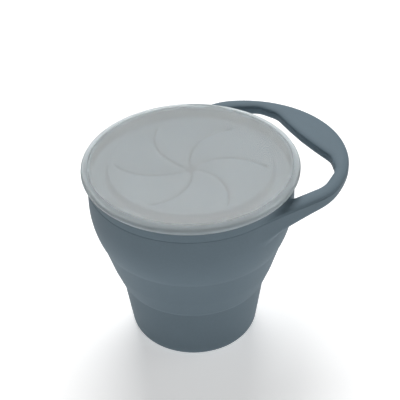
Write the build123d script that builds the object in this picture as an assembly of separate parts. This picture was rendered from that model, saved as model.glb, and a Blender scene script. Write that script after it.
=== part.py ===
from build123d import *
import os
from math import atan2, cos, degrees, radians, sqrt

# Collapsible silicone snack cup with a carry loop, a petal guard and a frosted dust lid.
# Millimetres. The origin is the centre of the base's underside, +Z is up through the mouth,
# and +X runs along the carry loop. The cup stands open; three stages telescope when it folds.

# Whole cup
TOTAL_HEIGHT = 94.4
RUNNING_GAP = 0.3            # air between pieces that move past each other

# Dust lid: a disc that turns down near its edge, with a fat rounded skirt that grips the rim
LID_RADIUS = 50.0
LID_PLATE = 1.5
LID_EDGE_DEPTH = 4.3
LID_EDGE_WIDTH = 2.1
LID_SLOPE_START = 46.5
LID_SLOPE_DROP = 1.3
LID_SLOPE_BLEND = 12.0
LID_SHOULDER_ROUND = 1.5
LID_FOOT_ROUND = 1.6

# Upper stage: the rim is a straight band, and the wall below it curves in to the upper crease
RIM_RADIUS = 47.5
RIM_TOP = TOTAL_HEIGHT - LID_PLATE - RUNNING_GAP
UPPER_WALL = 2.4
BAND_BOTTOM = 76.0
UPPER_BULGE = 48.0           # radius of the wall's curve below the band
CREASE_Z = 56.4

# Ledge inside the rim that the petal guard sits on
LEDGE_Z = 86.2
LEDGE_REACH = 2.2
LEDGE_THICKNESS = 2.1
REBATE_RADIUS = 45.4

# Fold wall: the thin middle stage that turns inside out when the cup collapses
FOLD_WALL = 1.4
STEP_Z = 31.8
STEP_RADIUS = 34.7
FOLD_BULGE = 0.45            # how far the cone swells outward at mid height
FOLD_LIP = 1.2               # rounding of the lip that overhangs the lower stage

# Lower stage: the small tapered cup that everything folds down around
LOWER_TOP_RADIUS = 34.0
LOWER_BASE_RADIUS = 29.4
LOWER_WALL = 2.0
LOWER_FLOOR = 2.6
BASE_ROUND = 7.0

# Petal guard: a plateau just under the lid, cut into petals, with a lower channel round it
CHANNEL_TOP = 88.0
PLATEAU_TOP = 92.0
PLATEAU_RADIUS = 37.8
PLATEAU_THICKNESS = 1.4
RISER_WIDTH = 1.5
RISER_FLARE = 0.9
PLATEAU_ROUND = 0.9
PETALS = 6
SLIT_END_RADIUS = 36.0       # the slits run from the centre to here
SLIT_SAG = 7.9               # how far each slit bows from its chord
SLIT_WIDTH = 0.8
FIRST_SLIT = 23.0            # azimuth of the first slit's outer end, degrees
HINGE_GAP = 0.2
HINGE_TAPER = 0.7            # half the width of the V groove under each living hinge
CENTRE_HOLE = 2.0

# Carry loop: two slim legs that leave the cup along its tangents and a wide grip at the end
LOOP_TOP = 86.2
LOOP_HALF_WIDTH = 46.7
LOOP_END_RADIUS = 49.3
LOOP_END_CENTRE = 28.6
LOOP_SHOULDER = 25.0         # plan radius where the legs turn into the grip
LOOP_ROUND = 2.6
LEG_INNER = 39.1
ROOT_FILLET = 2.0
# Half of the finger gap's outline, from the leg to the grip: x, y and corner radius
GAP_CORNERS = [(46.8, LEG_INNER, 14.0), (58.8, 31.6, 10.0), (62.9, 22.0, 9.6)]
GRIP_MIDDLE = (61.2, 0, 130.0)   # the grip's inner edge bows towards the cup
# Underside of the loop seen from the side: level under the grip, deeper towards the cup
UNDERSIDE = [(82.0, 80.4), (60.0, 80.4), (46.0, 79.5), (22.0, 75.9), (10.0, 73.4)]


def turned(outline):
    """A closed outline of radius and height, spun round the cup's axis."""
    return revolve(Plane.XZ * make_face(outline), Axis.Z)


def bulge_point(z, inset=0.0):
    """Point at height z on the upper stage's curved wall, inset from its outside."""
    radius = UPPER_BULGE - inset
    return (RIM_RADIUS - UPPER_BULGE + sqrt(radius**2 - (BAND_BOTTOM - z) ** 2), z)


def bulge_arc(inset=0.0):
    """The upper stage's wall curve from the band to the crease, inset from its outside."""
    middle = (BAND_BOTTOM + CREASE_Z) / 2
    return ThreePointArc(
        bulge_point(BAND_BOTTOM, inset),
        bulge_point(middle, inset),
        bulge_point(CREASE_Z, inset),
    )


def dust_lid():
    """Disc with a soft shoulder and a rounded skirt that hangs over the rim."""
    top = TOTAL_HEIGHT
    under = top - LID_PLATE
    foot = top - LID_EDGE_DEPTH
    inner = LID_RADIUS - LID_EDGE_WIDTH
    outside = FilletPolyline(
        (0, top),
        (LID_SLOPE_START, top),
        (LID_RADIUS, top - LID_SLOPE_DROP),
        (LID_RADIUS, foot),
        (inner, foot),
        radius=[LID_SLOPE_BLEND, LID_SHOULDER_ROUND, LID_FOOT_ROUND],
    )
    return turned(outside + Polyline((inner, foot), (inner, under), (0, under), (0, top)))


def upper_wall():
    """Rim band and curved wall down to the upper crease, with the guard's ledge inside."""
    inner = RIM_RADIUS - UPPER_WALL
    ledge = REBATE_RADIUS - LEDGE_REACH
    ledge_foot = LEDGE_Z - LEDGE_THICKNESS
    outside = Line((RIM_RADIUS, RIM_TOP), (RIM_RADIUS, BAND_BOTTOM))
    inside = Polyline(
        bulge_point(BAND_BOTTOM, UPPER_WALL),
        (inner, ledge_foot - (inner - ledge)),
        (ledge, ledge_foot),
        (ledge, LEDGE_Z),
        (REBATE_RADIUS, LEDGE_Z),
        (REBATE_RADIUS, RIM_TOP),
        (RIM_RADIUS, RIM_TOP),
    )
    foot = Line(bulge_point(CREASE_Z), bulge_point(CREASE_Z, UPPER_WALL))
    return turned(outside + bulge_arc() + foot + bulge_arc(UPPER_WALL) + inside)


def fold_wall():
    """Thin cone between the two creases, with a rounded lip over the lower stage."""
    top_outer = bulge_point(CREASE_Z)[0]
    top_inner = top_outer - FOLD_WALL
    bottom_inner = STEP_RADIUS - FOLD_WALL
    middle_z = (CREASE_Z + STEP_Z) / 2
    lip_z = STEP_Z + FOLD_LIP
    outline = (
        ThreePointArc(
            (top_outer, CREASE_Z),
            ((top_outer + STEP_RADIUS) / 2 + FOLD_BULGE, middle_z),
            (STEP_RADIUS, lip_z),
        )
        + Polyline(
            (STEP_RADIUS, lip_z),
            (STEP_RADIUS - FOLD_LIP / 3, STEP_Z),
            (bottom_inner, STEP_Z),
        )
        + ThreePointArc(
            (bottom_inner, STEP_Z),
            ((top_inner + bottom_inner) / 2 + FOLD_BULGE, middle_z),
            (top_inner, CREASE_Z),
        )
        + Line((top_inner, CREASE_Z), (top_outer, CREASE_Z))
    )
    return turned(outline)


def lower_cup():
    """Tapered bottom stage with a rounded foot and a flat floor."""
    slope = (LOWER_TOP_RADIUS - LOWER_BASE_RADIUS) / STEP_Z
    floor_inner = LOWER_BASE_RADIUS + slope * LOWER_FLOOR - LOWER_WALL
    solid = turned(
        Polyline(
            (0, 0),
            (LOWER_BASE_RADIUS, 0),
            (LOWER_TOP_RADIUS, STEP_Z),
            (0, STEP_Z),
            close=True,
        )
    )
    solid = fillet(solid.edges().group_by(Axis.Z)[0], BASE_ROUND)
    hollow = turned(
        Polyline(
            (0, LOWER_FLOOR),
            (floor_inner, LOWER_FLOOR),
            (LOWER_TOP_RADIUS - LOWER_WALL, STEP_Z),
            (0, STEP_Z),
            close=True,
        )
    )
    hollow = fillet(hollow.edges().group_by(Axis.Z)[0], BASE_ROUND - LOWER_WALL)
    return solid - hollow


def hexagon(apothem, z):
    """Hexagon whose corners lie on the slits' outer ends, at height z."""
    corner = apothem / cos(radians(180 / PETALS))
    return Pos(0, 0, z) * Rot(0, 0, FIRST_SLIT) * RegularPolygon(corner, PETALS)


HEX_APOTHEM = SLIT_END_RADIUS * cos(radians(180 / PETALS))


def guard_ring():
    """Plateau, riser and channel of the guard, open in the middle for the petals."""
    foot = PLATEAU_RADIUS + RISER_FLARE
    under = PLATEAU_TOP - PLATEAU_THICKNESS
    outline = Polyline(
        (REBATE_RADIUS, LEDGE_Z),
        (REBATE_RADIUS, CHANNEL_TOP),
        (foot, CHANNEL_TOP),
        (PLATEAU_RADIUS, PLATEAU_TOP),
        (0, PLATEAU_TOP),
        (0, under),
        (PLATEAU_RADIUS - RISER_WIDTH, under),
        (foot - RISER_WIDTH, LEDGE_Z),
        close=True,
    )
    ring = turned(outline)
    shoulder = ring.edges().filter_by(GeomType.CIRCLE).filter_by(
        lambda e: abs(e.radius - PLATEAU_RADIUS) < 0.01 and e.center().Z > under
    )
    ring = fillet(shoulder, PLATEAU_ROUND)
    opening = loft(
        [
            hexagon(HEX_APOTHEM + HINGE_TAPER, under),
            hexagon(HEX_APOTHEM, PLATEAU_TOP),
        ]
    )
    return ring - opening


def slit_cutter(azimuth):
    """Thin bowed blade from the centre past the plateau's edge, full thickness."""
    half_chord = SLIT_END_RADIUS / 2
    bow = (half_chord**2 + SLIT_SAG**2) / (2 * SLIT_SAG)
    drop = bow - SLIT_SAG
    ring = Circle(bow + SLIT_WIDTH / 2) - Circle(bow - SLIT_WIDTH / 2)
    window = Pos(half_chord, SLIT_SAG) * Rectangle(
        SLIT_END_RADIUS + 2 * SLIT_WIDTH, 2 * SLIT_SAG + 2 * SLIT_WIDTH
    )
    blade = (Pos(half_chord, -drop) * ring) & window
    lift = Pos(0, 0, PLATEAU_TOP - 2 * PLATEAU_THICKNESS) * Rot(0, 0, azimuth)
    return extrude(lift * blade, amount=3 * PLATEAU_THICKNESS)


def petals():
    """The curved petals, each a separate solid, counted from the first slit."""
    under = PLATEAU_TOP - PLATEAU_THICKNESS
    plate = loft(
        [
            hexagon(HEX_APOTHEM - HINGE_GAP - HINGE_TAPER, under),
            hexagon(HEX_APOTHEM - HINGE_GAP, PLATEAU_TOP),
        ]
    )
    plate -= Pos(0, 0, under) * Cylinder(CENTRE_HOLE, 4 * PLATEAU_THICKNESS)
    for k in range(PETALS):
        plate -= slit_cutter(FIRST_SLIT + k * 360 / PETALS)

    def turn_from_first_slit(solid):
        centre = solid.center()
        return (degrees(atan2(centre.Y, centre.X)) - FIRST_SLIT) % 360

    return sorted(plate.solids(), key=turn_from_first_slit)


def gap_face():
    """Plan of the finger gap between the cup and the loop, with rounded roots."""
    start = (RIM_RADIUS / 2, LEG_INNER)
    corners = GAP_CORNERS + [GRIP_MIDDLE] + [(x, -y, r) for x, y, r in reversed(GAP_CORNERS)]
    points = [start] + [(x, y) for x, y, _ in corners] + [(start[0], -start[1])]
    path = FilletPolyline(*points, radius=[r for _, _, r in corners])
    closing = Line(points[-1], points[0])
    face = make_face(path + closing) - Circle(RIM_RADIUS)
    face = max(face.faces(), key=lambda f: f.area)
    on_rim = [v for v in face.vertices() if abs((v.X**2 + v.Y**2) - RIM_RADIUS**2) < 0.1]
    return fillet(on_rim, ROOT_FILLET)


def loop_plan():
    """Plan of the carry loop, with the finger gap cut out."""
    reach = 2 * LOOP_END_RADIUS
    strip = Pos(reach / 2, 0) * Rectangle(reach, 2 * LOOP_HALF_WIDTH)
    end = Pos(LOOP_END_CENTRE, 0) * Circle(LOOP_END_RADIUS)
    plan = strip & end
    shoulders = [v for v in plan.vertices() if v.X > LOOP_END_CENTRE]
    return fillet(shoulders, LOOP_SHOULDER) - gap_face()


def handle_loop():
    """Carry loop, cut to sit on the outside of the upper stage."""
    far_x = UNDERSIDE[0][0]
    lowest = UNDERSIDE[-1][1]
    loop = extrude(Pos(0, 0, lowest) * loop_plan(), amount=LOOP_TOP - lowest)
    side = Polyline(*UNDERSIDE, (0, lowest), (0, LOOP_TOP), (far_x, LOOP_TOP), close=True)
    loop &= extrude(Plane.XZ * make_face(side), amount=LOOP_HALF_WIDTH + 1, both=True)
    loop = max(loop.solids(), key=lambda s: s.volume)
    top_face = loop.faces().sort_by(Axis.Z)[-1]
    rounded = [e for e in top_face.edges() if e.bounding_box().max.X > RIM_RADIUS / 2]
    loop = fillet(rounded, LOOP_ROUND)
    outside = Line((RIM_RADIUS, RIM_TOP), (RIM_RADIUS, BAND_BOTTOM))
    closing = Polyline(bulge_point(CREASE_Z), (0, CREASE_Z), (0, RIM_TOP), (RIM_RADIUS, RIM_TOP))
    loop -= turned(outside + bulge_arc() + closing)
    return max(loop.solids(), key=lambda s: s.volume)


nodes = {
    "dust_lid": dust_lid(),
    "upper_wall": upper_wall(),
    "fold_wall": fold_wall(),
    "lower_cup": lower_cup(),
    "guard_ring": guard_ring(),
    "handle_loop": handle_loop(),
}
for number, petal in enumerate(petals(), start=1):
    nodes[f"petal_{number}"] = petal

os.makedirs("parts", exist_ok=True)
for name, solid in nodes.items():
    export_step(solid, f"parts/{name}.step")
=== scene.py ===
"""Collapsible silicone snack cup with a carry loop, a petal guard and a frosted dust lid.

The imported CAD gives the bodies, joints and heights. Outlines below are in millimetres of radius
and height, and meshes are made in metres. The cup stands open on its base, +X along the loop.
"""
import math

import bpy
import numpy as np
from mathutils import Matrix, Vector


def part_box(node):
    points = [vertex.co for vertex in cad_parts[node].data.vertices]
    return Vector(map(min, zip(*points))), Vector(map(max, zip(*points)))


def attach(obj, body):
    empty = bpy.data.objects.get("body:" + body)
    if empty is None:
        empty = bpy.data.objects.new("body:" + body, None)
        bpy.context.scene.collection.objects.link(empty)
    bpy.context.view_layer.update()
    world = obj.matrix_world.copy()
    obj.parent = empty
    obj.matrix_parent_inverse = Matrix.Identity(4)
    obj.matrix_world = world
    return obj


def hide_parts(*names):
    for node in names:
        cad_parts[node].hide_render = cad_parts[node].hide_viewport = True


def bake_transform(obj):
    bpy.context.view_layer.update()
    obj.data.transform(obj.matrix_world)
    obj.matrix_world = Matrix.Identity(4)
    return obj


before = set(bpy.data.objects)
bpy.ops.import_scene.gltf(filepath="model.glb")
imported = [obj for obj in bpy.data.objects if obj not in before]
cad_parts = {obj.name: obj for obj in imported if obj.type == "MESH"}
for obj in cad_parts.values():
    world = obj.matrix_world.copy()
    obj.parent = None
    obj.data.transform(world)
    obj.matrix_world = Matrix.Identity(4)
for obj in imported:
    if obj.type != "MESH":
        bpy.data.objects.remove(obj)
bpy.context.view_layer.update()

MM = 0.001
TURN_SEGMENTS = 288           # facets round the cup
ARC_STEP = math.radians(9)    # largest turn between two points of a rounded corner
SHARP_ANGLE = math.radians(50)
SUPPORT = 0.25                # a point this far from a corner's arc keeps the face beside it flat
TINY = 1e-6                   # lengths below this count as nothing


def millimetres(node):
    """Lowest and highest corner of a CAD node, in millimetres."""
    low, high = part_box(node)
    return low / MM, high / MM


# ---------------------------------------------------------------- sizes read from the frame

lid_low, lid_high = millimetres("dust_lid")
wall_low, wall_high = millimetres("upper_wall")
fold_low, fold_high = millimetres("fold_wall")
guard_low, guard_high = millimetres("guard_ring")
loop_low, loop_high = millimetres("handle_loop")

LID_RADIUS = lid_high.x
LID_TOP = lid_high.z
LID_FOOT = lid_low.z
RIM_RADIUS = wall_high.x
RIM_TOP = wall_high.z
CREASE_Z = wall_low.z
STEP_Z = fold_low.z
LEDGE_Z = guard_low.z
PLATEAU_TOP = guard_high.z
REBATE_RADIUS = guard_high.x
LOOP_TOP = loop_high.z
LOOP_REACH = loop_high.x

# Cup wall
UPPER_WALL = 2.4
BAND_BOTTOM = 76.0            # the rim band is straight down to here
UPPER_BULGE = 48.0
BEND_Z = 41.4                 # the fold wall's cone steepens below here
BEND_RADIUS = 38.5
CREASE_STEP = 0.3             # the wall steps in by this much at the upper crease
CREASE_DROP = 0.2             # the crease's corner lies this far below the upper stage's foot
CREASE_MARGIN = 1.5           # the curved wall's points end this far above the crease
LIP_Z = 32.2
LIP_RADIUS = 35.0
LIP_DROP = 1.4                # the lip's underside slopes back to the lower stage over this height
LIP_INSET = 0.2               # extra wall behind the lip
LOWER_TOP_RADIUS = 34.0
LOWER_BASE_RADIUS = 29.4
FOLD_WALL = 1.5
LOWER_WALL = 2.0
LOWER_FLOOR = 2.6
BASE_ROUND = 7.0
LEDGE_REACH = 2.2
LEDGE_THICKNESS = 2.1

# Lid
LID_PLATE = 1.5
LID_EDGE_WIDTH = 2.1
LID_SLOPE_START = 46.3        # the top turns down from about here
LID_SLOPE_DROP = 1.35
SHADED_EDGE_START = 46.8             # the thick edge from here out gets a darker, less clear copy of the lid's material, as painted shade

# Guard
GUARD_CLEARANCE = 0.1
CHANNEL_TOP = 88.0
PLATEAU_RADIUS = 37.8
PLATEAU_THICKNESS = 1.4
RISER_WIDTH = 1.5
RISER_FLARE = 0.9
PETALS = 6
PETAL_RADIUS = 36.2
SLIT_END_RADIUS = 36.0
SLIT_SAG = 7.9
SLIT_WIDTH = 0.8
FIRST_SLIT = 23.0
PETAL_TIP = 2.6
PETAL_EDGE_ROUND = 0.5
VALLEY_DEPTH = 1.5            # how far the petals' edges sink along the slits
VALLEY_WIDTH = 2.6
CENTRE_DIP = 1.4              # the petals' tips droop by this much
DIP_RADIUS = 8.0
PETAL_ROWS, PETAL_COLUMNS = 40, 28

# Carry loop
LOOP_HALF_WIDTH = 46.7
LOOP_END_RADIUS = 49.3
LOOP_END_CENTRE = LOOP_REACH - LOOP_END_RADIUS
LOOP_SHOULDER = 25.0
LOOP_TOP_ROUND = 1.0
LOOP_CROWN = 1.0              # how far the top falls towards its edges
CROWN_WIDTH = 3.8
LOOP_UNDER_ROUND = 2.0
LEG_INNER = 39.1
GAP_CORNERS = [(46.8, LEG_INNER, 14.0), (58.8, 31.6, 10.0), (62.9, 22.0, 9.6)]
GRIP_MIDDLE = (61.2, 0.0, 130.0)        # the grip's inner face bows slightly towards the cup
LEG_START = 16.0              # the legs' sides sink into the wall from here back
LEG_FADE = 60.0               # larger sinks more gently
GRIP_UNDERSIDE = 80.4
ROOT_UNDERSIDE = loop_low.z
UNDERSIDE_RUN = (10.0, 60.0)  # the underside drops between these
UNDERSIDE_POWER = 1.6
ROOT_BLEND = 3.0              # how far the loop's root melts into the wall
ROOT_DEPTH = 1.2              # how deep the loop's own mesh goes into the wall
SINK = 0.01                   # keeps the loop's mesh just under the wall where both lie together
NET_PITCH = 0.61              # spacing of the grid that the loop's net is laid on
SEAM_PITCH = 0.1              # its spacing in height at the parting line
NET_MARGIN = 2.0

# Parting line: a fine groove that the mould's halves leave round the cup and the loop
PARTING_Z = 84.7
PARTING_DEPTH = 0.18
PARTING_WIDTH = 0.22
SEAM_LEVELS = 6               # fine grid levels on each side of the parting line
GROOVE_REACH = 2              # the cup's groove is drawn over this many widths on each side
GROOVE_POINTS = 17


# ---------------------------------------------------------------- outlines

def rounded(corners, closed=False):
    """Points along a chain of (x, y, radius) corners, with an arc at each corner that has a radius
    and a support point just outside each arc."""
    count = len(corners)
    points = []
    for i, (x, y, radius) in enumerate(corners):
        here = np.array((x, y), float)
        if radius == 0 or (not closed and i in (0, count - 1)):
            points.append(here)
            continue
        before = np.array(corners[i - 1][:2], float) - here
        after = np.array(corners[(i + 1) % count][:2], float) - here
        before_length, after_length = np.linalg.norm(before), np.linalg.norm(after)
        before, after = before / before_length, after / after_length
        turn = math.pi - math.acos(np.clip(before @ after, -1, 1))
        tangent = radius * math.tan(turn / 2)
        centre_direction = (before + after) / np.linalg.norm(before + after)
        centre = here + centre_direction * math.hypot(radius, tangent)
        start, end = here + before * tangent, here + after * tangent
        arm, last_arm = start - centre, end - centre
        side = np.sign(arm[0] * last_arm[1] - arm[1] * last_arm[0])
        if before_length > tangent + 2 * SUPPORT:
            points.append(start + before * SUPPORT)
        steps = max(2, math.ceil(turn / ARC_STEP))
        for k in range(steps + 1):
            angle = side * turn * k / steps
            c, s = math.cos(angle), math.sin(angle)
            points.append(centre + np.array((c * arm[0] - s * arm[1], s * arm[0] + c * arm[1])))
        if after_length > tangent + 2 * SUPPORT:
            points.append(end + after * SUPPORT)
    return points


def bulge(z, inset=0.0):
    """Point of the upper stage's curved wall at height z, inset from its outside."""
    radius = UPPER_BULGE - inset
    return RIM_RADIUS - UPPER_BULGE + math.sqrt(radius**2 - (BAND_BOTTOM - z) ** 2), z


def bulge_points(inset=0.0, steps=14):
    """The curved wall from the band down to just above the crease."""
    heights = np.linspace(BAND_BOTTOM, CREASE_Z + CREASE_MARGIN, steps)
    return [np.array(bulge(z, inset)) for z in heights]


# ---------------------------------------------------------------- meshes

def make_piece(name, vertices, faces, material):
    """Mesh object from points in millimetres, shaded smooth."""
    mesh = bpy.data.meshes.new(name)
    mesh.from_pydata([tuple(v) for v in np.asarray(vertices) * MM], [], [tuple(f) for f in faces])
    mesh.validate()
    mesh.shade_smooth()
    mesh.set_sharp_from_angle(angle=SHARP_ANGLE)
    mesh.materials.append(material)
    piece = bpy.data.objects.new(name, mesh)
    bpy.context.scene.collection.objects.link(piece)
    return piece


def turned(name, outline, material):
    """Outline of (radius, height) points, anticlockwise in that plane, spun round the cup's axis.
    A point on the axis becomes one vertex. The outline closes by itself."""
    segments = TURN_SEGMENTS
    vertices, rings = [], []
    for r, z in outline:
        if abs(r) < TINY:
            rings.append([len(vertices)])
            vertices.append((0, 0, z))
            continue
        rings.append(list(range(len(vertices), len(vertices) + segments)))
        for k in range(segments):
            angle = 2 * math.pi * k / segments
            vertices.append((r * math.cos(angle), r * math.sin(angle), z))
    faces = []
    for lower, upper in zip(rings, rings[1:] + rings[:1]):
        if len(lower) == 1 and len(upper) == 1:
            continue
        for k in range(segments):
            n = (k + 1) % segments
            if len(lower) == 1:
                faces.append((lower[0], upper[n], upper[k]))
            elif len(upper) == 1:
                faces.append((lower[k], lower[n], upper[0]))
            else:
                faces.append((lower[k], lower[n], upper[n], upper[k]))
    return make_piece(name, vertices, faces, material)


def surface_net(values, axes):
    """Vertices and quads of the zero surface of distances on a grid, negative inside. The grid's
    levels along each axis may be uneven."""
    inside = values < 0
    cells = np.array(values.shape) - 1
    total = np.zeros((*cells, 3))
    count = np.zeros(cells, int)
    quads = []
    for axis in range(3):
        low = [slice(None)] * 3
        high = [slice(None)] * 3
        low[axis], high[axis] = slice(0, -1), slice(1, None)
        crossing = np.argwhere(inside[tuple(low)] != inside[tuple(high)])
        others = [a for a in range(3) if a != axis]
        keep = np.all([(crossing[:, a] > 0) & (crossing[:, a] < cells[a]) for a in others], axis=0)
        crossing = crossing[keep]
        first = values[tuple(crossing.T)]
        step = np.eye(3, dtype=int)[axis]
        second = values[tuple((crossing + step).T)]
        point = crossing.astype(float)
        point[:, axis] += first / (first - second)
        around = []
        for a, b in ((0, 0), (1, 0), (1, 1), (0, 1)):
            cell = crossing.copy()
            cell[:, others[0]] -= a
            cell[:, others[1]] -= b
            np.add.at(total, tuple(cell.T), point)
            np.add.at(count, tuple(cell.T), 1)
            around.append(np.ravel_multi_index(cell.T, cells))
        quad = np.stack(around, axis=1)
        flip = (first > 0) ^ (axis == 1)
        quad[flip] = quad[flip][:, ::-1]
        quads.append(quad)
    used = np.flatnonzero(count.ravel())
    number = np.full(count.size, -1)
    number[used] = np.arange(len(used))
    centres = total.reshape(-1, 3)[used] / count.ravel()[used, None]
    points = [np.interp(centres[:, a], np.arange(len(axes[a])), axes[a]) for a in range(3)]
    return np.stack(points, axis=1), number[np.concatenate(quads)]


def settle(points, quads, distance, loose, rounds=4, share=0.5, least_slope=0.05):
    """Evens the quads out where loose is 1, and puts every point back on the zero surface of
    distance."""
    edges = np.concatenate([quads[:, [a, (a + 1) % 4]] for a in range(4)])
    for turn in range(rounds + 1):
        if turn < rounds:
            total = np.zeros_like(points)
            degree = np.zeros(len(points))
            for a, b in ((0, 1), (1, 0)):
                np.add.at(total, edges[:, a], points[edges[:, b]])
                np.add.at(degree, edges[:, a], 1)
            points = points + share * loose[:, None] * (total / degree[:, None] - points)
        for _ in range(3):
            value, slope = distance(points), gradient(distance, points)
            shift = value / np.maximum((slope**2).sum(1), least_slope)
            points = points - shift[:, None] * slope
    return points


def gradient(distance, points, step=0.02):
    """Slope of distance at each point."""
    columns = []
    for axis in range(points.shape[1]):
        shift = np.zeros(points.shape[1])
        shift[axis] = step
        columns.append((distance(points + shift) - distance(points - shift)) / (2 * step))
    return np.stack(columns, axis=1)


# ---------------------------------------------------------------- distances that shape the loop

def melt(a, b, width):
    """The lower of two distances, with the join between them rounded off."""
    near = np.maximum(width - np.abs(a - b), 0) / width
    return np.minimum(a, b) - near**2 * width / 4


def to_wall(points):
    """Distance outside the cup's rim band and curved wall."""
    rho = np.hypot(points[:, 0], points[:, 1])
    below = np.minimum(points[:, 2] - BAND_BOTTOM, 0)
    centre = RIM_RADIUS - UPPER_BULGE
    return np.hypot(rho - centre, below) - UPPER_BULGE


def to_loop_end(x, y):
    """Distance outside the loop's outer plan: straight legs, shoulders and one wide end arc."""
    y = np.abs(y)
    rise = LOOP_HALF_WIDTH - LOOP_SHOULDER
    run = math.sqrt((LOOP_END_RADIUS - LOOP_SHOULDER) ** 2 - rise**2)
    shoulder_x = LOOP_END_CENTRE + run
    leg = y - LOOP_HALF_WIDTH + np.maximum(LEG_START - x, 0) ** 2 / LEG_FADE
    shoulder = np.hypot(x - shoulder_x, y - rise) - LOOP_SHOULDER
    end = np.hypot(x - LOOP_END_CENTRE, y) - LOOP_END_RADIUS
    past_shoulder = (x - LOOP_END_CENTRE) * rise > y * run
    return np.where(x < shoulder_x, leg, np.where(past_shoulder, end, shoulder))


def gap_outline():
    """Finger gap's plan, from the cup's middle round the inside of the loop."""
    half = [(0.0, LEG_INNER, 0.0)] + GAP_CORNERS
    return np.array(rounded(half + [GRIP_MIDDLE] + [(x, -y, r) for x, y, r in reversed(half)]))


def to_polygon(x, y, outline):
    """Distance outside a closed polygon."""
    point = np.stack([x, y], axis=1)
    best = np.full(len(point), np.inf)
    odd = np.zeros(len(point), bool)
    for a, b in zip(outline, np.roll(outline, -1, axis=0)):
        edge = b - a
        share = np.clip((point - a) @ edge / max(edge @ edge, TINY**2), 0, 1)
        best = np.minimum(best, np.linalg.norm(point - a - share[:, None] * edge, axis=1))
        crosses = (a[1] > y) != (b[1] > y)
        if abs(edge[1]) > TINY**2:
            odd ^= crosses & (x < a[0] + (y - a[1]) * edge[0] / edge[1])
    return np.where(odd, -best, best)


GAP = gap_outline()


def to_loop(points):
    """Distance outside the loop: its plan, raised between the underside and the top, rounded."""
    x, y, z = points.T
    plan = np.maximum(to_loop_end(x, y), -to_polygon(x, y, GAP))
    near, far = UNDERSIDE_RUN
    drop = np.clip((far - x) / (far - near), 0, 1) ** UNDERSIDE_POWER
    underside = GRIP_UNDERSIDE - (GRIP_UNDERSIDE - ROOT_UNDERSIDE) * drop
    top = LOOP_TOP - LOOP_CROWN * np.clip(1 + plan / CROWN_WIDTH, 0, 1) ** 2
    middle, half = (top + underside) / 2, (top - underside) / 2
    radius = np.where(z > middle, LOOP_TOP_ROUND, LOOP_UNDER_ROUND)
    across = plan + radius
    up = np.abs(z - middle) - half + radius
    outside = np.hypot(np.maximum(across, 0), np.maximum(up, 0))
    return outside + np.minimum(np.maximum(across, up), 0) - radius


def to_loop_piece(points):
    """Distance outside the loop's own mesh: the moulding near the loop, ending inside the wall."""
    wall, loop = to_wall(points), to_loop(points)
    groove = PARTING_DEPTH * np.exp(-(((points[:, 2] - PARTING_Z) / PARTING_WIDTH) ** 2))
    body = melt(wall, loop, ROOT_BLEND) + SINK + groove
    return np.maximum.reduce([body, -wall - ROOT_DEPTH, loop - ROOT_BLEND])


# ---------------------------------------------------------------- materials

NOISE_LOW, NOISE_HIGH = 0.3, 0.7        # nearly all of a noise lies between these
COLOUR_A, COLOUR_B, COLOUR_OUT = 6, 7, 2     # sockets of a Mix node set to colours


def node_material(name):
    """New material, its node tree and its shader."""
    material = bpy.data.materials.new(name)
    material.use_nodes = True
    tree = material.node_tree
    return material, tree, tree.nodes["Principled BSDF"]


def noise(tree, coordinates, scale, detail):
    """Noise in object space; scale is in waves per metre."""
    texture = tree.nodes.new("ShaderNodeTexNoise")
    texture.inputs["Scale"].default_value = scale
    texture.inputs["Detail"].default_value = detail
    tree.links.new(coordinates, texture.inputs["Vector"])
    return texture.outputs["Fac"]


def spread(tree, source, low, high):
    """Maps noise to the range from low to high."""
    ranged = tree.nodes.new("ShaderNodeMapRange")
    ranged.inputs["From Min"].default_value = NOISE_LOW
    ranged.inputs["From Max"].default_value = NOISE_HIGH
    ranged.inputs["To Min"].default_value = low
    ranged.inputs["To Max"].default_value = high
    tree.links.new(source, ranged.inputs["Value"])
    return ranged.outputs["Result"]


def average(tree, first, second):
    """Mean of two values."""
    total = tree.nodes.new("ShaderNodeMath")
    total.operation = "MULTIPLY_ADD"
    total.inputs[1].default_value = 0.5
    tree.links.new(first, total.inputs[0])
    half = tree.nodes.new("ShaderNodeMath")
    half.operation = "MULTIPLY"
    half.inputs[1].default_value = 0.5
    tree.links.new(second, half.inputs[0])
    tree.links.new(half.outputs[0], total.inputs[2])
    return total.outputs[0]


def mottled(tree, shader, source, dark, light):
    """Base colour that drifts between dark and light with the noise."""
    mix = tree.nodes.new("ShaderNodeMix")
    mix.data_type = "RGBA"
    mix.inputs[COLOUR_A].default_value = (*dark, 1)
    mix.inputs[COLOUR_B].default_value = (*light, 1)
    tree.links.new(spread(tree, source, 0, 1), mix.inputs[0])
    tree.links.new(mix.outputs[COLOUR_OUT], shader.inputs["Base Color"])


def grained(tree, shader, source, strength, depth):
    """Fine bumps, depth metres deep, as the mould's blasted face leaves them."""
    bump = tree.nodes.new("ShaderNodeBump")
    bump.inputs["Strength"].default_value = strength
    bump.inputs["Distance"].default_value = depth
    tree.links.new(source, bump.inputs["Height"])
    tree.links.new(bump.outputs["Normal"], shader.inputs["Normal"])


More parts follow.
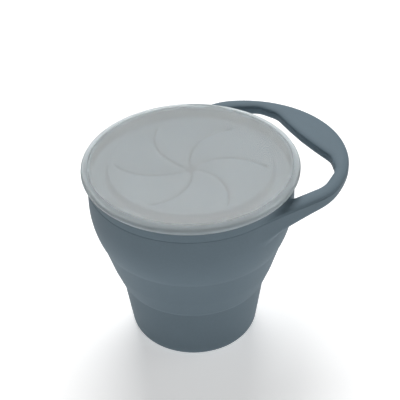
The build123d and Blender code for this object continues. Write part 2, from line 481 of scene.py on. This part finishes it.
def silicone(name, colour, roughness=0.62, roughness_range=0.05, mottle=0.05):
    """Matte moulded silicone: faint mottling, a fine grain and a slightly uneven gloss."""
    material, tree, shader = node_material(name)
    coordinates = tree.nodes.new("ShaderNodeTexCoord").outputs["Object"]
    broad = noise(tree, coordinates, scale=45.0, detail=3.0)
    fine = noise(tree, coordinates, scale=900.0, detail=4.0)
    grain = noise(tree, coordinates, scale=3200.0, detail=2.0)
    dark = [c * (1 - mottle) for c in colour]
    light = [min(1, c * (1 + mottle)) for c in colour]
    mottled(tree, shader, average(tree, fine, broad), dark, light)
    gloss = spread(tree, fine, roughness - roughness_range, roughness + roughness_range)
    tree.links.new(gloss, shader.inputs["Roughness"])
    grained(tree, shader, grain, strength=0.25, depth=0.00008)
    shader.inputs["IOR"].default_value = 1.41
    shader.inputs["Specular IOR Level"].default_value = 0.2
    return material


def frosted_silicone(name, colour, clearness, roughness, mottle=0.03):
    """Translucent silicone with a frosted face: it blurs what lies behind it."""
    material, tree, shader = node_material(name)
    coordinates = tree.nodes.new("ShaderNodeTexCoord").outputs["Object"]
    cloud = noise(tree, coordinates, scale=60.0, detail=3.0)
    grain = noise(tree, coordinates, scale=3500.0, detail=2.0)
    mottled(tree, shader, cloud, [c * (1 - mottle) for c in colour], colour)
    grained(tree, shader, grain, strength=0.2, depth=0.00006)
    shader.inputs["Roughness"].default_value = roughness
    shader.inputs["IOR"].default_value = 1.25
    shader.inputs["Specular IOR Level"].default_value = 0.12
    shader.inputs["Transmission Weight"].default_value = clearness
    return material


CUP_SILICONE = silicone("cup_silicone", (0.158, 0.213, 0.252))
GUARD_SILICONE = silicone("guard_silicone", (0.165, 0.220, 0.258))
LID_PLATE_SILICONE = frosted_silicone(
    "lid_plate_silicone", (0.95, 0.995, 1.0), clearness=0.77, roughness=0.27
)
# Painted shade: the lid's edge gets this darker, less clear copy of the plate's frosted silicone.
LID_SHADED_EDGE_SILICONE = frosted_silicone(
    "lid_edge_shaded_silicone", (0.78, 0.84, 0.86), clearness=0.66, roughness=0.40
)


# ---------------------------------------------------------------- pieces

def make_cup_body():
    """Three-stage cup wall and floor as one moulding."""
    slope = (LOWER_TOP_RADIUS - LOWER_BASE_RADIUS) / STEP_Z
    crease = bulge(CREASE_Z)[0]
    inner_base = LOWER_BASE_RADIUS + slope * LOWER_FLOOR - LOWER_WALL
    ledge = REBATE_RADIUS - LEDGE_REACH
    band_inner = RIM_RADIUS - UPPER_WALL
    ledge_foot = LEDGE_Z - LEDGE_THICKNESS
    outline = rounded(
        [
            (0, 0, 0),
            (LOWER_BASE_RADIUS, 0, BASE_ROUND),
            (LOWER_TOP_RADIUS, LIP_Z - LIP_DROP, 1.5),
            (LIP_RADIUS, LIP_Z, 0.9),
            (BEND_RADIUS, BEND_Z, 14.0),
            (crease - CREASE_STEP, CREASE_Z - CREASE_DROP, 2.0),
            (*bulge(CREASE_Z + CREASE_MARGIN), 0),
        ]
    )
    outline += bulge_points()[::-1][1:]
    for rise in np.linspace(-GROOVE_REACH, GROOVE_REACH, GROOVE_POINTS) * PARTING_WIDTH:
        groove = PARTING_DEPTH * math.exp(-((rise / PARTING_WIDTH) ** 2))
        outline.append(np.array((RIM_RADIUS - groove, PARTING_Z + rise)))
    outline += rounded(
        [
            (RIM_RADIUS, PARTING_Z, 0),
            (RIM_RADIUS, RIM_TOP, 0.8),
            (REBATE_RADIUS, RIM_TOP, 0.7),
            (REBATE_RADIUS, LEDGE_Z, 0.2),
            (ledge, LEDGE_Z, 0.5),
            (ledge, ledge_foot, 0.6),
            (band_inner, ledge_foot - (band_inner - ledge), 1.5),
            (band_inner, BAND_BOTTOM, 0),
        ]
    )[1:]
    outline += bulge_points(UPPER_WALL)[1:]
    outline += rounded(
        [
            (*bulge(CREASE_Z + CREASE_MARGIN, UPPER_WALL), 0),
            (crease - FOLD_WALL - CREASE_STEP, CREASE_Z, 3.0),
            (BEND_RADIUS - FOLD_WALL, BEND_Z, 12.0),
            (LIP_RADIUS - FOLD_WALL - LIP_INSET, LIP_Z, 2.0),
            (LOWER_TOP_RADIUS - LOWER_WALL, STEP_Z - LOWER_WALL, 2.0),
            (inner_base, LOWER_FLOOR, BASE_ROUND - LOWER_WALL),
            (0, LOWER_FLOOR, 0),
        ]
    )[1:]
    body = turned("cup_body", outline, CUP_SILICONE)
    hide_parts("lower_cup", "fold_wall", "upper_wall")
    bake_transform(body)
    return body


def make_carry_loop():
    """Loop and its melted roots, as a net laid on the loop's rounded shape."""
    seam = SEAM_LEVELS * SEAM_PITCH
    width = LOOP_HALF_WIDTH + NET_MARGIN
    bottom, top = ROOT_UNDERSIDE - 2 * NET_MARGIN, LOOP_TOP + 2 * NET_MARGIN
    lengths = np.arange(0, LOOP_REACH + NET_MARGIN, NET_PITCH)
    widths = np.arange(-width, width + NET_PITCH, NET_PITCH)
    heights = np.concatenate(
        [
            np.arange(PARTING_Z - seam, bottom, -NET_PITCH)[::-1],
            np.arange(PARTING_Z - seam + SEAM_PITCH, PARTING_Z + seam, SEAM_PITCH),
            np.arange(PARTING_Z + seam, top, NET_PITCH),
        ]
    )
    axes = [lengths, widths, heights]
    grid = np.stack(np.meshgrid(*axes, indexing="ij"), axis=-1)
    values = to_loop_piece(grid.reshape(-1, 3)).reshape(grid.shape[:3])
    points, quads = surface_net(values, axes)
    loose = np.clip(np.abs(points[:, 2] - PARTING_Z) / seam - 1, 0, 1)
    points = settle(points, quads, to_loop_piece, loose)
    loop = make_piece("carry_loop", points, quads, CUP_SILICONE)
    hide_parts("handle_loop")
    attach(loop, "upper")
    return loop


def make_lid():
    """Frosted lid: flat top that turns down near its edge, and a fat edge that grips the rim. The
    edge is given a darker, less clear copy of the lid's material as painted shade.
    """
    inner = LID_RADIUS - LID_EDGE_WIDTH
    under = LID_TOP - LID_PLATE
    outline = rounded(
        [
            (0, under, 0),
            (inner, under, 0.5),
            (inner, LID_FOOT, 0.4),
            (LID_RADIUS, LID_FOOT, 1.6),
            (LID_RADIUS, LID_TOP - LID_SLOPE_DROP, 1.5),
            (LID_SLOPE_START, LID_TOP, 12.0),
            (0, LID_TOP, 0),
        ]
    )
    lid = turned("frosted_lid", outline, LID_PLATE_SILICONE)
    # Painted shade: faces out past the edge radius take the darker copy of the lid's material.
    lid.data.materials.append(LID_SHADED_EDGE_SILICONE)
    for face in lid.data.polygons:
        if math.hypot(*face.center[:2]) > SHADED_EDGE_START * MM:
            face.material_index = 1
    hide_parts("dust_lid")
    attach(lid, "lid")
    return lid


def make_guard_rim():
    """Channel, riser and plateau edge of the petal guard."""
    outer = REBATE_RADIUS - GUARD_CLEARANCE
    foot = PLATEAU_RADIUS + RISER_FLARE
    under = PLATEAU_TOP - PLATEAU_THICKNESS
    outline = rounded(
        [
            (outer, LEDGE_Z, 0.3),
            (outer, CHANNEL_TOP, 0.5),
            (foot, CHANNEL_TOP, 0.6),
            (PLATEAU_RADIUS, PLATEAU_TOP, 0.9),
            (PETAL_RADIUS, PLATEAU_TOP, 0),
            (PETAL_RADIUS, under, 0),
            (PLATEAU_RADIUS - RISER_WIDTH + GUARD_CLEARANCE, under, 0),
            (foot - RISER_WIDTH, LEDGE_Z, 0.4),
        ],
        closed=True,
    )
    rim = turned("guard_rim", outline, GUARD_SILICONE)
    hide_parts("guard_ring")
    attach(rim, "upper")
    return rim


def slit_angle(r):
    """Azimuth of a slit at radius r, from the azimuth of its outer end. It is an arc of one circle
    through the centre."""
    half_chord = SLIT_END_RADIUS / 2
    bow = (half_chord**2 + SLIT_SAG**2) / (2 * SLIT_SAG)
    return math.acos(min(1, r / (2 * bow))) - math.acos(SLIT_END_RADIUS / (2 * bow))


def make_petal(number):
    """One curved petal whose rounded edges sink along the slits."""
    rows, columns = PETAL_ROWS, PETAL_COLUMNS
    sector = 2 * math.pi / PETALS
    first = math.radians(FIRST_SLIT) + number * sector
    radii = PETAL_TIP + (PETAL_RADIUS - PETAL_TIP) * np.arange(rows + 1) / rows
    across = 0.5 - 0.5 * np.cos(np.pi * np.arange(columns + 1) / columns)
    thickness = PLATEAU_THICKNESS
    top, bottom = {}, {}
    vertices, faces = [], []
    for i, r in enumerate(radii):
        joined = r > SLIT_END_RADIUS - SLIT_WIDTH
        clearance = 0 if joined else SLIT_WIDTH / 2 / r
        start = first + slit_angle(min(r, SLIT_END_RADIUS)) + clearance
        width = sector - 2 * clearance
        for j, t in enumerate(across):
            angle = start + width * t
            to_slit = min(t, 1 - t) * width * r
            from_edge = min(to_slit, r - PETAL_TIP)
            rounding = 0 if joined else max(0, 1 - from_edge / PETAL_EDGE_ROUND)
            half = thickness / 2 * math.sqrt(1 - rounding**2)
            fade = min(1, (PETAL_RADIUS - r) / VALLEY_WIDTH)
            sink = VALLEY_DEPTH * fade * math.exp(-to_slit / VALLEY_WIDTH)
            sink += CENTRE_DIP * math.exp(-((r / DIP_RADIUS) ** 2))
            x, y = r * math.cos(angle), r * math.sin(angle)
            z = PLATEAU_TOP - thickness / 2 - sink
            top[i, j] = len(vertices)
            vertices.append((x, y, z + half))
            if half < TINY:
                bottom[i, j] = top[i, j]
                continue
            bottom[i, j] = len(vertices)
            vertices.append((x, y, z - half))

    def add(*corners):
        """Face without its repeated corners, unless that leaves only an edge."""
        corners = list(dict.fromkeys(corners))
        if len(corners) > 2:
            faces.append(corners)

    for i in range(rows):
        for j in range(columns):
            add(top[i, j], top[i + 1, j], top[i + 1, j + 1], top[i, j + 1])
            add(bottom[i, j], bottom[i, j + 1], bottom[i + 1, j + 1], bottom[i + 1, j])
        add(top[i, 0], bottom[i, 0], bottom[i + 1, 0], top[i + 1, 0])
        add(top[i, columns], top[i + 1, columns], bottom[i + 1, columns], bottom[i, columns])
    for j in range(columns):
        add(top[rows, j], bottom[rows, j], bottom[rows, j + 1], top[rows, j + 1])
    name = f"petal_{number + 1}"
    petal = make_piece(f"{name}_flap", vertices, faces, GUARD_SILICONE)
    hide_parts(name)
    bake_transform(petal)
    return petal


make_cup_body()
make_carry_loop()
make_lid()
make_guard_rim()
for number in range(PETALS):
    make_petal(number)


# ---------------------------------------------------------------- stage, lights and camera

VIEW_AZIMUTH = math.radians(-31.3)
VIEW_ELEVATION = math.radians(36.93)
VIEW_ROLL = math.radians(-1.39)
VIEW_DISTANCE = 0.600
AIM_RIGHT, AIM_UP = 0.0039, -0.0179     # aim point seen from the lid's centre
LENS = 119.07
FLOOR_REACH = 3.0
FLOOR_Z = -0.0001             # just clear of the cup's base
FLOOR_GLOW = 0.45
LIGHT_SIZE = 0.8
LIGHT_AIM = Vector((0, 0, 0.05))
DOME_STRENGTH = 0.04


def make_floor():
    """Plain pale floor."""
    mesh = bpy.data.meshes.new("floor")
    signs = [(-1, -1), (1, -1), (1, 1), (-1, 1)]
    corners = [(x * FLOOR_REACH, y * FLOOR_REACH, FLOOR_Z) for x, y in signs]
    mesh.from_pydata(corners, [], [(0, 1, 2, 3)])
    material, _, shader = node_material("floor_paper")
    shader.inputs["Base Color"].default_value = (0.95, 0.95, 0.95, 1)
    shader.inputs["Roughness"].default_value = 0.9
    shader.inputs["Emission Color"].default_value = (1, 1, 1, 1)
    shader.inputs["Emission Strength"].default_value = FLOOR_GLOW
    mesh.materials.append(material)
    floor = bpy.data.objects.new("floor", mesh)
    bpy.context.scene.collection.objects.link(floor)


def area_light(name, position, watts):
    """Square soft light that faces the cup."""
    data = bpy.data.lights.new(name, "AREA")
    data.shape = "SQUARE"
    data.size = LIGHT_SIZE
    data.energy = watts
    light = bpy.data.objects.new(name, data)
    light.location = position
    aim = LIGHT_AIM - light.location
    light.rotation_euler = aim.to_track_quat("-Z", "Y").to_euler()
    bpy.context.scene.collection.objects.link(light)


def make_lights():
    """Faint dome, a large high key light from behind, and two weak fills."""
    world = bpy.data.worlds.new("soft_dome")
    bpy.context.scene.world = world
    world.use_nodes = True
    sky = world.node_tree.nodes["Background"]
    sky.inputs["Color"].default_value = (1, 1, 1, 1)
    sky.inputs["Strength"].default_value = DOME_STRENGTH
    area_light("key", (0.36, 0.60, 1.1), watts=15.0)
    area_light("side_fill", (0.9, -0.5, 0.6), watts=1.4)
    area_light("front_fill", (-0.5, -0.85, 0.5), watts=1.6)


def make_camera():
    """Camera at the reference view."""
    turn = Matrix.Rotation(VIEW_AZIMUTH, 3, "Z")
    forward = turn @ Vector((0, math.cos(VIEW_ELEVATION), -math.sin(VIEW_ELEVATION)))
    right = turn @ Vector((1, 0, 0))
    up = turn @ Vector((0, math.sin(VIEW_ELEVATION), math.cos(VIEW_ELEVATION)))
    c, s = math.cos(VIEW_ROLL), math.sin(VIEW_ROLL)
    lid_centre = Vector((0, 0, LID_TOP * MM))
    data = bpy.data.cameras.new("camera")
    data.lens = LENS
    camera = bpy.data.objects.new("camera", data)
    camera.matrix_world = Matrix.Translation(
        lid_centre - forward * VIEW_DISTANCE + right * AIM_RIGHT + up * AIM_UP
    ) @ Matrix((c * right + s * up, -s * right + c * up, -forward)).transposed().to_4x4()
    bpy.context.scene.collection.objects.link(camera)
    bpy.context.scene.camera = camera


make_floor()
make_lights()
make_camera()
bpy.context.scene.view_settings.view_transform = "Standard"

bpy.context.view_layer.update()
